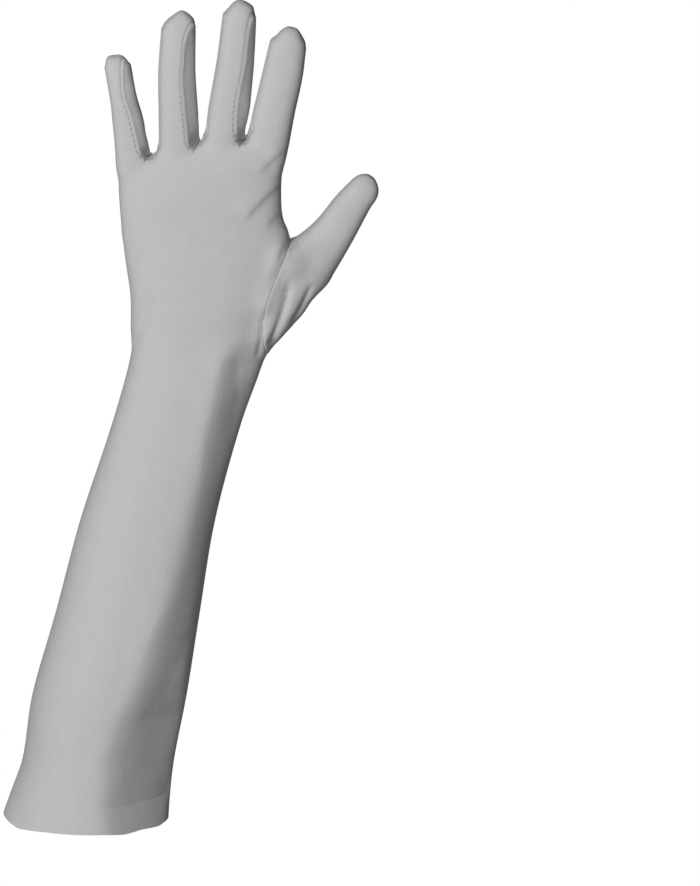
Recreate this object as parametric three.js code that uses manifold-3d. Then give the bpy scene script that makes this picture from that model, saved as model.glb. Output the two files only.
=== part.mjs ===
// Elbow-length costume glove for a left hand, in stretch knit, with the shape it keeps when worn.
// The origin is the centre of the cuff opening. +Z runs up to the fingertips, +X to the thumb side,
// and -Y is the side of the back of the hand. Sizes are in millimetres, angles in degrees.
import * as THREE from "three";
import { mergeVertices } from "three/addons/utils/BufferGeometryUtils.js";
import Module from "manifold-3d";

const wasm = await Module();
wasm.setup();

// Cloth, and the seams between its pieces
const cloth = 1.0;
const seamGap = 0.3;
const hemHeight = 12;
const hemThickness = 2.0;

// Sleeve, from the hem to the wrist
const sleeveLength = 236;
const sleeveDrift = 57;
const cuffWidth = 83;
const cuffDepth = 76;

// Hand, from the wrist to the webs between the fingers
const palmLength = 108;
const palmWidth = 84;
const palmDepth = 33;
const knuckleSlope = 11;

// Middle finger, the longest, from the knuckle line to its tip
const fingerLength = 80.5;
const fingerWidth = 19.6;
const fingerDepth = 17.2;

// How far the side pieces between the fingers face round to the back of the hand
const fingerTurn = 30;

// Thumb, from inside the wrist to its tip
const thumbLength = 107;
const thumbWidth = 19.4;
const thumbDepth = 17;
const thumbLean = 34;

// Sections of the sleeve: height, sideways drift, width and depth as shares, and squareness
const sleeveRows = [
  { up: 0.0, drift: 0.0, wide: 1.0, deep: 1.0, square: 2.05 },
  { up: 0.044, drift: 0.04, wide: 0.964, deep: 0.965, square: 2.05 },
  { up: 0.114, drift: 0.11, wide: 0.918, deep: 0.93, square: 2.1 },
  { up: 0.253, drift: 0.21, wide: 0.934, deep: 0.93, square: 2.15 },
  { up: 0.428, drift: 0.368, wide: 0.873, deep: 0.86, square: 2.15 },
  { up: 0.638, drift: 0.553, wide: 0.813, deep: 0.73, square: 2.2 },
  { up: 0.847, drift: 0.807, wide: 0.777, deep: 0.6, square: 2.3 },
];

// Sections of the hand: the same, with the share of the knuckle line's slope
const palmRows = [
  { up: 0.0, drift: 0.0, wide: 0.8, deep: 1.22, slope: 0, square: 2.4 },
  { up: 0.115, drift: 0.006, wide: 0.815, deep: 1.18, slope: 0, square: 2.4 },
  { up: 0.28, drift: 0.03, wide: 0.865, deep: 1.12, slope: 0, square: 2.5 },
  { up: 0.45, drift: 0.05, wide: 0.96, deep: 1.06, slope: 0.15, square: 2.5 },
  { up: 0.54, drift: 0.052, wide: 0.99, deep: 1.02, slope: 0.3, square: 2.5 },
  { up: 0.6, drift: 0.029, wide: 0.965, deep: 1.0, slope: 0.4, square: 2.5 },
  { up: 0.66, drift: 0.02, wide: 0.957, deep: 0.97, slope: 0.55, square: 2.5 },
  { up: 0.79, drift: 0.016, wide: 0.977, deep: 0.9, slope: 0.85, square: 2.6 },
  { up: 0.9, drift: 0.024, wide: 1.01, deep: 0.8, slope: 1.0, square: 2.7 },
  { up: 0.96, drift: 0.026, wide: 1.0, deep: 0.66, slope: 1.0, square: 2.8 },
  { up: 1.0, drift: 0.026, wide: 0.95, deep: 0.4, slope: 1.0, square: 2.8 },
];

// Fingers: place on the knuckle line as a share of the palm's width, sizes as shares of the middle
// finger's, and lean.
// Their sections: height as a share of the length, width and depth as shares, sideways and
// backwards offsets, and the side seam's distance from the middle as a share of half the width.
// The tip starts at the last section, and the larger its bluntness the flatter it is.
const fingers = [
  {
    name: "little", stand: -0.42, long: 0.752, wide: 0.755, deep: 0.802, lean: -7, blunt: 2.6,
    rows: [
      { up: -0.25, wide: 0.95, deep: 1.0, side: 0.08, bow: 0.0, seam: 0.85 },
      { up: 0.0, wide: 1.12, deep: 1.24, side: 0.03, bow: -0.05, seam: 0.85 },
      { up: 0.3, wide: 0.98, deep: 1.06, side: 0.02, bow: -0.12, seam: 0.72 },
      { up: 0.6, wide: 0.88, deep: 0.98, side: 0.0, bow: -0.08, seam: 0.7 },
      { up: 0.9, wide: 0.88, deep: 0.86, side: -0.06, bow: 0.12, seam: 1.0 },
    ],
  },
  {
    name: "ring", stand: -0.145, long: 0.969, wide: 0.969, deep: 0.953, lean: 0.3, blunt: 1.7,
    rows: [
      { up: -0.25, wide: 0.9, deep: 1.1, side: 0.0, bow: 0.0, seam: 0.85 },
      { up: 0.0, wide: 1.06, deep: 1.16, side: 0.02, bow: -0.05, seam: 0.85 },
      { up: 0.3, wide: 1.04, deep: 1.06, side: 0.0, bow: -0.12, seam: 0.73 },
      { up: 0.6, wide: 0.98, deep: 0.98, side: -0.05, bow: -0.08, seam: 0.72 },
      { up: 0.88, wide: 0.92, deep: 0.86, side: -0.05, bow: 0.12, seam: 1.05 },
    ],
  },
  {
    name: "middle", stand: 0.118, long: 1.0, wide: 1.0, deep: 1.0, lean: 6.6, blunt: 1.7,
    rows: [
      { up: -0.25, wide: 0.9, deep: 1.1, side: 0.0, bow: 0.0, seam: 0.85 },
      { up: 0.0, wide: 1.0, deep: 1.14, side: 0.02, bow: -0.05, seam: 0.85 },
      { up: 0.3, wide: 1.02, deep: 1.06, side: 0.02, bow: -0.12, seam: 0.78 },
      { up: 0.6, wide: 0.94, deep: 0.98, side: 0.01, bow: -0.08, seam: 0.8 },
      { up: 0.89, wide: 0.9, deep: 0.86, side: 0.0, bow: 0.12, seam: 1.05 },
    ],
  },
  {
    name: "index", stand: 0.39, long: 0.783, wide: 1.041, deep: 1.0, lean: 11, blunt: 1.8,
    rows: [
      { up: -0.35, wide: 0.86, deep: 1.1, side: 0.06, bow: 0.0, seam: 0.85 },
      { up: 0.0, wide: 1.08, deep: 1.14, side: 0.02, bow: -0.05, seam: 0.85 },
      { up: 0.3, wide: 1.02, deep: 1.06, side: 0.01, bow: -0.12, seam: 0.78 },
      { up: 0.6, wide: 0.98, deep: 0.98, side: 0.02, bow: -0.08, seam: 0.8 },
      { up: 0.86, wide: 0.9, deep: 0.88, side: 0.02, bow: 0.12, seam: 1.05 },
    ],
  },
];

// Sections of the thumb, as the fingers' are, from inside the wrist to the tip
const thumbBlunt = 2.4;
const thumbRows = [
  { up: 0.0, wide: 1.25, deep: 1.75, side: -0.42, bow: 0.0 },
  { up: 0.2, wide: 1.65, deep: 1.75, side: -0.33, bow: 0.06 },
  { up: 0.35, wide: 1.6, deep: 1.6, side: -0.28, bow: 0.14 },
  { up: 0.5, wide: 1.34, deep: 1.36, side: -0.08, bow: 0.24 },
  { up: 0.67, wide: 1.13, deep: 1.12, side: 0.015, bow: 0.34 },
  { up: 0.84, wide: 0.95, deep: 0.96, side: -0.03, bow: 0.4 },
  { up: 0.92, wide: 0.84, deep: 0.86, side: 0.0, bow: 0.42 },
];

// The thumb's seam, seen from the back of the hand: shares of the palm's width and length from the wrist
const thumbSeam = [
  { across: 0.562, up: 0.56 },
  { across: 0.47, up: 0.4 },
  { across: 0.4, up: 0.25 },
  { across: 0.385, up: 0.1 },
  { across: 0.42, up: -0.03 },
];

// Dents and swells of the worn cloth. Each runs from one point to another, given as shares of the
// palm's width and length from the wrist, on one side of the hand. Its own width is a share of the
// palm's width and its height one of the palm's depth. Dents have a negative height.
const handRelief = [
  {
    name: "index web crease", side: "back",
    across: 0.49, up: 0.97, toAcross: 0.34, toUp: 0.87, wide: 0.048, high: -0.024,
  },
  {
    name: "long crease", side: "back",
    across: 0.48, up: 0.86, toAcross: 0.23, toUp: 0.62, wide: 0.06, high: -0.03,
  },
  {
    name: "crotch hollow", side: "back",
    across: 0.53, up: 0.6, toAcross: 0.46, toUp: 0.5, wide: 0.048, high: -0.04,
  },
  {
    name: "thumb pucker", side: "back",
    across: 0.5, up: 0.36, toAcross: 0.41, toUp: 0.08, wide: 0.042, high: -0.048,
  },
  {
    name: "outer pucker", side: "back",
    across: 0.65, up: 0.33, toAcross: 0.5, toUp: 0.12, wide: 0.042, high: -0.045,
  },
  {
    name: "wrist crease", side: "back",
    across: -0.38, up: 0.06, toAcross: -0.3, toUp: 0.2, wide: 0.06, high: -0.033,
  },
  {
    name: "ball of the thumb", side: "palm",
    across: 0.3, up: 0.42, toAcross: 0.2, toUp: 0.2, wide: 0.238, high: 0.121,
  },
  {
    name: "heel of the hand", side: "palm",
    across: -0.28, up: 0.45, toAcross: -0.2, toUp: 0.15, wide: 0.18, high: 0.08,
  },
  {
    name: "hollow of the hand", side: "palm",
    across: 0.0, up: 0.58, toAcross: 0.02, toUp: 0.42, wide: 0.167, high: -0.073,
  },
  {
    name: "knuckle pad", side: "palm",
    across: -0.3, up: 0.84, toAcross: 0.35, toUp: 0.9, wide: 0.107, high: 0.042,
  },
];

// The same along the sleeve, as shares of the cuff's width and depth and the sleeve's length from the hem
const sleeveRelief = [
  {
    name: "arm crest", side: "back",
    across: 0.2, up: 0.1, toAcross: 0.87, toUp: 1.0, wide: 0.108, high: 0.017,
  },
  {
    name: "inner hollow", side: "back",
    across: 0.42, up: 0.12, toAcross: 1.0, toUp: 0.9, wide: 0.108, high: -0.013,
  },
  {
    name: "elbow fullness", side: "palm",
    across: 0.1, up: 0.25, toAcross: 0.3, toUp: 0.5, wide: 0.313, high: 0.029,
  },
];

// How finely the solids are faceted
const bodySides = 34;
const fingerSides = 14;
const thumbSides = 16;
const sleeveStep = 22;
const palmStep = 7.2;
const fingerSteps = 7;
const thumbSteps = 10;
const tipSteps = 3;

const radians = THREE.MathUtils.degToRad;

// A column of a table at any height, by a smooth curve through its rows.
function valueAt(rows, key, up) {
  const last = rows.length - 1;
  if (up <= rows[0].up) return rows[0][key];
  if (up >= rows[last].up) return rows[last][key];
  const slope = (i) => {
    const before = rows[Math.max(i - 1, 0)];
    const after = rows[Math.min(i + 1, last)];
    return (after[key] - before[key]) / (after.up - before.up);
  };
  const i = rows.findIndex((row) => row.up > up) - 1;
  const [a, b] = [rows[i], rows[i + 1]];
  const run = b.up - a.up;
  const t = (up - a.up) / run;
  return (
    (2 * t ** 3 - 3 * t ** 2 + 1) * a[key] +
    (t ** 3 - 2 * t ** 2 + t) * run * slope(i) +
    (3 * t ** 2 - 2 * t ** 3) * b[key] +
    (t ** 3 - t ** 2) * run * slope(i + 1)
  );
}

// A section leans sideways by an angle, and its depth always runs along Y.
function section(centre, lean, halfWide, halfDeep, square) {
  const angle = radians(lean);
  const across = new THREE.Vector3(Math.cos(angle), 0, -Math.sin(angle));
  return { centre, across, halfWide, halfDeep, square };
}

// The points round a section, taken in by a wall thickness.
function ring(cut, sides, inset) {
  const points = [];
  for (let i = 0; i < sides; i++) {
    const angle = (2 * Math.PI * (i + 0.5)) / sides;
    const [c, s] = [Math.cos(angle), Math.sin(angle)];
    const share = 2 / cut.square;
    const wide = Math.sign(c) * Math.abs(c) ** share * Math.max(cut.halfWide - inset, 0.1);
    const deep = Math.sign(s) * Math.abs(s) ** share * Math.max(cut.halfDeep - inset, 0.1);
    const point = cut.centre.clone().addScaledVector(cut.across, wide);
    point.y += deep;
    points.push(point);
  }
  return points;
}

function solid(positions, faces) {
  return new wasm.Manifold(
    new wasm.Mesh({
      numProp: 3,
      vertProperties: new Float32Array(positions),
      triVerts: new Uint32Array(faces),
    }),
  );
}

// The faces between one ring of points and the next, as two triangles for each side.
function wallFaces(faces, sides, lower, upper) {
  for (let i = 0; i < sides; i++) {
    const next = (i + 1) % sides;
    const [a, b, c, d] = [lower + i, lower + next, upper + next, upper + i];
    faces.push(a, b, c, a, c, d);
  }
}

// A closed mesh from rings of points, each end closed by a fan on its middle.
function loft(rings) {
  const sides = rings[0].length;
  const positions = rings.flat().flatMap((p) => [p.x, p.y, p.z]);
  const faces = [];
  for (let r = 0; r + 1 < rings.length; r++) wallFaces(faces, sides, r * sides, (r + 1) * sides);
  for (const end of [0, rings.length - 1]) {
    const middle = new THREE.Vector3();
    for (const p of rings[end]) middle.addScaledVector(p, 1 / sides);
    const hub = positions.length / 3;
    positions.push(middle.x, middle.y, middle.z);
    for (let i = 0; i < sides; i++) {
      const [a, b] = [end * sides + i, end * sides + ((i + 1) % sides)];
      if (end === 0) faces.push(b, a, hub);
      else faces.push(a, b, hub);
    }
  }
  return solid(positions, faces);
}

// A closed band from rings of points that run up its outside and down its inside.
function band(rings) {
  const sides = rings[0].length;
  const positions = rings.flat().flatMap((p) => [p.x, p.y, p.z]);
  const faces = [];
  for (let r = 0; r < rings.length; r++) wallFaces(faces, sides, r * sides, ((r + 1) % rings.length) * sides);
  return solid(positions, faces);
}

// A flat outline in X and Z, run through the depth of the hand between two values of Y and slanted
// sideways by an angle.
function prism(outline, slant, from, to) {
  const shape = new THREE.Shape(outline.map((p) => new THREE.Vector2(p.x, p.z)));
  const geometry = new THREE.ExtrudeGeometry(shape, { depth: to - from, bevelEnabled: false });
  const tilt = Math.tan(radians(slant));
  const place = new THREE.Matrix4().set(
    1, 0, -tilt, tilt * to,
    0, 0, -1, to,
    0, 1, 0, 0,
    0, 0, 0, 1,
  );
  geometry.applyMatrix4(place);
  geometry.deleteAttribute("normal");
  geometry.deleteAttribute("uv");
  const merged = mergeVertices(geometry, 1e-4);
  return solid(merged.attributes.position.array, merged.index.array);
}

// Sections of the whole arm, in millimetres from the hem
const stations = [
  ...sleeveRows.map((row) => ({
    up: row.up * sleeveLength,
    x: row.drift * sleeveDrift,
    halfWide: (row.wide * cuffWidth) / 2,
    halfDeep: (row.deep * cuffDepth) / 2,
    lean: 0,
    square: row.square,
  })),
  ...palmRows.map((row) => ({
    up: sleeveLength + row.up * palmLength,
    x: sleeveDrift + row.drift * palmWidth,
    halfWide: (row.wide * palmWidth) / 2,
    halfDeep: (row.deep * palmDepth) / 2,
    lean: -row.slope * knuckleSlope,
    square: row.square,
  })),
];

function armSection(z) {
  const at = (key) => valueAt(stations, key, z);
  return section(new THREE.Vector3(at("x"), 0, z), at("lean"), at("halfWide"), at("halfDeep"), at("square"));
}

function handPoint(across, up) {
  return new THREE.Vector3(sleeveDrift + across * palmWidth, 0, sleeveLength + up * palmLength);
}

// The dents and swells in millimetres, each as a line with a width and a height
const relief = [
  ...handRelief.map((row) => ({
    side: row.side,
    wide: row.wide * palmWidth,
    high: row.high * palmDepth,
    line: new THREE.Line3(handPoint(row.across, row.up), handPoint(row.toAcross, row.toUp)),
  })),
  ...sleeveRelief.map((row) => ({
    side: row.side,
    wide: row.wide * cuffWidth,
    high: row.high * cuffDepth,
    line: new THREE.Line3(
      new THREE.Vector3(row.across * cuffWidth, 0, row.up * sleeveLength),
      new THREE.Vector3(row.toAcross * cuffWidth, 0, row.toUp * sleeveLength),
    ),
  })),
];

// Moves a point of a section in or out by the relief that it lies on.
function raise(point, cut) {
  const flat = new THREE.Vector3(point.x, 0, point.z);
  const near = new THREE.Vector3();
  const facing = THREE.MathUtils.clamp((1.6 * (point.y - cut.centre.y)) / cut.halfDeep, -1, 1);
  for (const row of relief) {
    row.line.closestPointToPoint(flat, true, near);
    const share = Math.exp(-((flat.distanceTo(near) / row.wide) ** 2));
    const weight = row.side === "back" ? Math.max(-facing, 0) : Math.max(facing, 0);
    point.y += Math.sign(facing) * row.high * share * weight;
  }
  return point;
}

function spread(from, to, count) {
  return Array.from({ length: count + 1 }, (_, i) => from + ((to - from) * i) / count);
}

// The sleeve and hand up to the webs, from a given height.
function armForm(inset, start) {
  const top = sleeveLength + palmLength - inset;
  const heights = [
    ...spread(start, sleeveLength, Math.ceil(sleeveLength / sleeveStep)),
    ...spread(sleeveLength, top, Math.ceil(palmLength / palmStep)).slice(1),
  ];
  return loft(
    heights.map((z) => {
      const cut = armSection(z);
      return ring(cut, bodySides, inset).map((point) => raise(point, cut));
    }),
  );
}

// A finger or the thumb, as sections along a leaning line.
function digit(root, lean, size, rows) {
  const angle = radians(lean);
  const along = new THREE.Vector3(Math.sin(angle), 0, Math.cos(angle));
  const across = new THREE.Vector3(Math.cos(angle), 0, -Math.sin(angle));
  return { root, lean, along, across, rows, ...size };
}

function digitSection(form, up) {
  const at = (key) => valueAt(form.rows, key, up);
  const centre = form.root
    .clone()
    .addScaledVector(form.along, up * form.length)
    .addScaledVector(form.across, at("side") * form.width);
  centre.y += at("bow") * form.depth;
  return section(centre, form.lean, (at("wide") * form.width) / 2, (at("deep") * form.depth) / 2, 2.2);
}

function digitForm(form, sides, steps, inset) {
  const tipStart = form.rows.at(-1).up;
  const shaft = spread(form.rows[0].up, tipStart, steps);
  const rings = shaft.map((up) => {
    const cut = digitSection(form, up);
    return ring(cut, sides, inset).map((point) => raise(point, cut));
  });
  const base = digitSection(form, tipStart);
  const tipLength = (1 - tipStart) * form.length - inset;
  for (const share of spread(0, 0.9, tipSteps).slice(1)) {
    const angle = (Math.PI / 2) * share;
    const rise = Math.sin(angle) ** (2 / form.blunt);
    const shrink = Math.cos(angle) ** (2 / form.blunt);
    const centre = base.centre.clone().addScaledVector(form.along, tipLength * rise);
    const halfWide = (base.halfWide - inset) * shrink;
    const halfDeep = (base.halfDeep - inset) * shrink;
    rings.push(ring({ ...base, centre, halfWide, halfDeep }, sides, 0));
  }
  return loft(rings);
}

// The fingers stand on the slanting knuckle line near the top of the hand
const knuckles = armSection(sleeveLength + 0.93 * palmLength);
const fingerForms = fingers.map((finger) => {
  const root = knuckles.centre.clone().addScaledVector(knuckles.across, finger.stand * palmWidth);
  const size = {
    name: finger.name,
    length: finger.long * fingerLength,
    width: finger.wide * fingerWidth,
    depth: finger.deep * fingerDepth,
    blunt: finger.blunt,
  };
  return digit(root, finger.lean, size, finger.rows);
});
const thumbSize = { length: thumbLength, width: thumbWidth, depth: thumbDepth, blunt: thumbBlunt };
const thumbForm = digit(handPoint(0.335, 0.01), thumbLean, thumbSize, thumbRows);

function gloveForm(inset, start) {
  let form = armForm(inset, start);
  for (const finger of fingerForms) form = form.add(digitForm(finger, fingerSides, fingerSteps, inset));
  return form.add(digitForm(thumbForm, thumbSides, thumbSteps, inset));
}

// The knit shell above the hem, before it is cut into its pieces
const shellStart = hemHeight + seamGap;
const shell = gloveForm(0, shellStart).subtract(gloveForm(cloth, shellStart - 2 * cloth));

// The cutter of the thumb, which takes all that lies on the thumb's side of its seam.
function thumbCutter(grow) {
  const shift = new THREE.Vector3(-grow, 0, 0);
  const seam = thumbSeam.map((row) => handPoint(row.across, row.up).add(shift));
  const between = radians(thumbLean / 2);
  const reach = new THREE.Vector3(thumbLength, 0, 0);
  const above = seam[0]
    .clone()
    .add(new THREE.Vector3(thumbLength * Math.sin(between), 0, thumbLength * Math.cos(between)));
  const outline = [above, ...seam, seam.at(-1).clone().add(reach), above.clone().add(reach)];
  return prism(outline, 0, -cuffDepth, cuffDepth);
}

// The cutter of the side piece between two neighbouring fingers, pointed at its foot.
function sideCutter(left, right, grow) {
  const edge = (form, up, direction) => {
    const cut = digitSection(form, up);
    const out = valueAt(form.rows, "seam", up) * cut.halfWide - grow;
    return cut.centre.clone().addScaledVector(cut.across, direction * out);
  };
  const heights = spread(0.06, 1, 8);
  const leftEdge = heights.map((up) => edge(left, up, 1));
  const rightEdge = heights.map((up) => edge(right, up, -1));
  const foot = leftEdge[0].clone().lerp(rightEdge[0], 0.5);
  foot.z -= 3 + grow;
  return prism([foot, ...rightEdge, ...leftEdge.reverse()], fingerTurn, -cuffDepth, cuffDepth);
}

const glove = new THREE.Group();

function addPiece(name, made, color) {
  const mesh = made.getMesh();
  const geometry = new THREE.BufferGeometry();
  geometry.setAttribute("position", new THREE.BufferAttribute(mesh.vertProperties, 3));
  geometry.setIndex(new THREE.BufferAttribute(mesh.triVerts, 1));
  geometry.computeVertexNormals();
  const material = new THREE.MeshStandardMaterial({ color, roughness: 0.85, metalness: 0 });
  const piece = new THREE.Mesh(geometry, material);
  piece.name = name;
  glove.add(piece);
}

const knitGrey = 0xbcbcbc;
const hemGrey = 0xb4b4b4;

// Thumb
addPiece("thumb", shell.intersect(thumbCutter(-seamGap / 2)), knitGrey);
let panels = shell.subtract(thumbCutter(seamGap / 2));

// Side pieces between the fingers
for (let i = 0; i + 1 < fingerForms.length; i++) {
  const [left, right] = [fingerForms[i], fingerForms[i + 1]];
  const name = "fourchette_" + left.name + "_" + right.name;
  addPiece(name, panels.intersect(sideCutter(left, right, -seamGap / 2)), knitGrey);
  panels = panels.subtract(sideCutter(left, right, seamGap / 2));
}

// Back and palm, sewn to each other along both sides
addPiece("back_panel", panels.trimByPlane([0, -1, 0], seamGap / 2), knitGrey);
addPiece("palm_panel", panels.trimByPlane([0, 1, 0], seamGap / 2), knitGrey);

// Hem, the doubled edge of the cuff, with a round fold at its foot
const fold = hemThickness / 3;
const hemOutside = [
  { up: 0, inset: fold },
  { up: fold, inset: 0 },
  { up: hemHeight / 2, inset: 0 },
  { up: hemHeight, inset: 0 },
];
const hemInside = hemOutside.map((row) => ({ up: row.up, inset: hemThickness - row.inset })).reverse();
const hemRings = [...hemOutside, ...hemInside].map((row) => ring(armSection(row.up), bodySides, row.inset));
addPiece("cuff_hem", band(hemRings), hemGrey);

export default glove;
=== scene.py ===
"""Elbow-length costume glove for a left hand, in pale grey stretch knit.

It is in the shape that it keeps when worn.
"""

import math

import bmesh
import bpy
import numpy as np
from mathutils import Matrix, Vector
from mathutils.bvhtree import BVHTree
from mathutils.kdtree import KDTree


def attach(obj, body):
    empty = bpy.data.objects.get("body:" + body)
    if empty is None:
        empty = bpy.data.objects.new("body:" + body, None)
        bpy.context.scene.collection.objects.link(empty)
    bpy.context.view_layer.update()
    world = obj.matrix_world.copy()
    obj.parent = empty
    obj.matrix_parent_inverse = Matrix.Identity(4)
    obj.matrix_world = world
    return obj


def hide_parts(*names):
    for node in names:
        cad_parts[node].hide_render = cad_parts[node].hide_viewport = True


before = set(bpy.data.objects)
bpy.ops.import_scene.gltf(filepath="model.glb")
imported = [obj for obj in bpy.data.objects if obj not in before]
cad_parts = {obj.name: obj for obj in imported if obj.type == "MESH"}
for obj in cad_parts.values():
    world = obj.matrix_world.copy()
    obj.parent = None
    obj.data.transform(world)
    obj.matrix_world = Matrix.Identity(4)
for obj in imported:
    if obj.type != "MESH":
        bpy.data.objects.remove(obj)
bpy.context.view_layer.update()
bpy.ops.object.select_all(action="DESELECT")

MM = 0.001

# Sizes in millimetres, the same as the solid glove's
SLEEVE_LENGTH = 236
SLEEVE_DRIFT = 57
CUFF_WIDTH = 83
CUFF_DEPTH = 76
HEM_HEIGHT = 12
PALM_LENGTH = 108
PALM_WIDTH = 84
PALM_DEPTH = 33
KNUCKLE_SLOPE = 11
FINGER_TURN = 30
FINGER_SQUARE = 2.5
CLOTH = 0.9
HEM_THICKNESS = 1.9
SEAM_GAP = 0.07  # how far each raw edge draws back from its seam

# Where the digits stand: height of the knuckle line, and the thumb's root across and up, as shares of the palm
KNUCKLE_HEIGHT = 0.93
THUMB_ROOT = (0.335, 0.01)

# Stitches of the sewn lines: pitch, length, thickness, and how far up the fingers they and the needle holes show
STITCH_PITCH = 3.0
STITCH_LENGTH = 1.9
STITCH_THICKNESS = 0.36
STITCHED_LENGTH = 34

# Fineness of the first mesh: rings and sides of the arm, sides of a digit, and steps along it and its tip
SLEEVE_RINGS = 82
PALM_RINGS = 64
ARM_SIDES = 128
DIGIT_SIDES = 44
DIGIT_STEP = 1.5
TIP_STEP = 0.8
CUFF_WASTE = 6  # cut off again when the cuff is opened

# Sections of the sleeve: height, sideways drift, width and depth as shares, and squareness
SLEEVE_ROWS = [
    (0.000, 0.000, 1.000, 1.000, 2.05),
    (0.044, 0.040, 0.964, 0.965, 2.05),
    (0.114, 0.110, 0.918, 0.930, 2.10),
    (0.253, 0.210, 0.934, 0.930, 2.15),
    (0.428, 0.368, 0.873, 0.860, 2.15),
    (0.638, 0.553, 0.813, 0.730, 2.20),
    (0.847, 0.807, 0.777, 0.600, 2.30),
]

# Sections of the hand: height, drift, width, depth, share of the knuckles' slope, squareness
PALM_ROWS = [
    (0.000, 0.000, 0.800, 1.220, 0.00, 2.4),
    (0.115, 0.006, 0.815, 1.180, 0.00, 2.4),
    (0.280, 0.030, 0.865, 1.120, 0.00, 2.5),
    (0.450, 0.050, 0.960, 1.060, 0.15, 2.5),
    (0.540, 0.052, 0.990, 1.020, 0.30, 2.5),
    (0.600, 0.029, 0.965, 1.000, 0.40, 2.5),
    (0.660, 0.020, 0.957, 0.970, 0.55, 2.5),
    (0.790, 0.016, 0.977, 0.900, 0.85, 2.6),
    (0.900, 0.024, 1.010, 0.800, 1.00, 2.7),
    (0.960, 0.026, 1.000, 0.660, 1.00, 2.8),
    (1.000, 0.026, 0.950, 0.400, 1.00, 2.8),
]

# Fingers: stand on the knuckle line, length, width, depth, lean, and sections.
# Each section: height, width, depth, sideways offset, backwards offset, and side seam.
FINGERS = {
    "little": (-0.42, 60.5, 14.8, 13.8, -7.0, [
        (-0.25, 0.95, 1.00, 0.08, 0.00, 0.85),
        (0.00, 1.27, 1.24, 0.10, -0.05, 0.85),
        (0.20, 1.16, 1.12, 0.09, -0.09, 0.78),
        (0.30, 1.08, 1.06, 0.07, -0.12, 0.72),
        (0.45, 1.02, 1.02, 0.055, -0.10, 0.70),
        (0.60, 0.91, 0.98, 0.015, -0.08, 0.70),
        (0.90, 0.88, 0.86, -0.06, 0.12, 1.00),
    ]),
    "ring": (-0.145, 78.0, 19.0, 16.4, 0.3, [
        (-0.25, 0.90, 1.10, 0.00, 0.00, 0.85),
        (0.00, 1.22, 1.16, -0.021, -0.05, 0.85),
        (0.09, 1.128, 1.13, 0.008, -0.07, 0.82),
        (0.15, 1.056, 1.11, 0.033, -0.09, 0.79),
        (0.24, 1.039, 1.08, 0.023, -0.11, 0.75),
        (0.34, 1.014, 1.05, 0.005, -0.12, 0.73),
        (0.60, 0.96, 0.98, -0.034, -0.08, 0.72),
        (0.88, 0.873, 0.86, 0.00, 0.12, 1.05),
    ]),
    "middle": (0.118, 80.5, 19.6, 17.2, 6.6, [
        (-0.25, 0.90, 1.10, 0.00, 0.00, 0.85),
        (0.00, 1.124, 1.14, -0.041, -0.05, 0.85),
        (0.08, 1.054, 1.12, -0.011, -0.07, 0.83),
        (0.15, 1.00, 1.10, 0.021, -0.09, 0.82),
        (0.30, 1.03, 1.06, 0.056, -0.12, 0.78),
        (0.45, 0.98, 1.02, 0.066, -0.10, 0.79),
        (0.60, 0.925, 0.98, 0.074, -0.08, 0.80),
        (0.89, 0.834, 0.86, 0.048, 0.12, 1.05),
    ]),
    "index": (0.39, 63.0, 20.4, 17.2, 11.0, [
        (-0.35, 0.86, 1.10, 0.06, 0.00, 0.85),
        (0.00, 1.04, 1.14, 0.01, -0.05, 0.85),
        (0.30, 1.00, 1.06, 0.02, -0.12, 0.78),
        (0.60, 0.975, 0.98, 0.047, -0.08, 0.80),
        (0.86, 0.885, 0.88, 0.042, 0.12, 1.05),
    ]),
}

# Thumb: length, width, depth, lean, and sections: height, width, depth, sideways and backwards offset
THUMB = (107.0, 19.4, 17.0, 34.0, [
    (-0.10, 0.93, 1.20, -0.464, -0.02),
    (0.00, 1.335, 1.70, -0.379, 0.00),
    (0.13, 1.49, 1.75, -0.389, 0.03),
    (0.28, 1.60, 1.70, -0.332, 0.06),
    (0.36, 1.60, 1.62, -0.330, 0.10),
    (0.46, 1.58, 1.46, -0.222, 0.17),
    (0.52, 1.43, 1.36, -0.165, 0.23),
    (0.57, 1.29, 1.27, -0.110, 0.27),
    (0.62, 1.17, 1.18, -0.066, 0.31),
    (0.69, 1.06, 1.10, -0.041, 0.34),
    (0.84, 0.92, 0.96, -0.052, 0.40),
    (0.92, 0.84, 0.86, 0.00, 0.42),
])

# Outlines of the fingertips: height, left and right edge as shares of half the width
TIPS = {
    "little": [
        (0.89, -0.97, 0.73), (0.925, -0.88, 0.60), (0.95, -0.83, 0.47), (0.97, -0.76, 0.30), (0.983, -0.60, 0.12),
    ],
    "ring": [
        (0.87, -0.84, 0.89), (0.905, -0.74, 0.87), (0.93, -0.56, 0.81), (0.955, -0.30, 0.64), (0.975, -0.08, 0.42),
        (0.986, 0.06, 0.26),
    ],
    "middle": [
        (0.88, -0.65, 0.90), (0.90, -0.61, 0.86), (0.922, -0.50, 0.80), (0.942, -0.39, 0.76), (0.96, -0.26, 0.52),
        (0.977, -0.08, 0.20),
    ],
    "index": [
        (0.82, -0.84, 0.98), (0.84, -0.79, 0.95), (0.875, -0.61, 0.88), (0.915, -0.46, 0.68), (0.95, -0.30, 0.50),
        (0.973, -0.12, 0.32),
    ],
    "thumb": [
        (0.86, -1.01, 0.77), (0.90, -0.89, 0.80), (0.936, -0.82, 0.77), (0.962, -0.70, 0.57), (0.98, -0.54, 0.34),
        (0.996, -0.24, 0.0),
    ],
}
TIP_DEPTH_LOST = 0.96  # how much of a digit's squared depth is gone at its very tip

# Web between thumb and palm: middle and half-sizes
THUMB_WEB = (104.6, 2.0, 287.0, 7.5, 7.0, 6.2)

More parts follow.
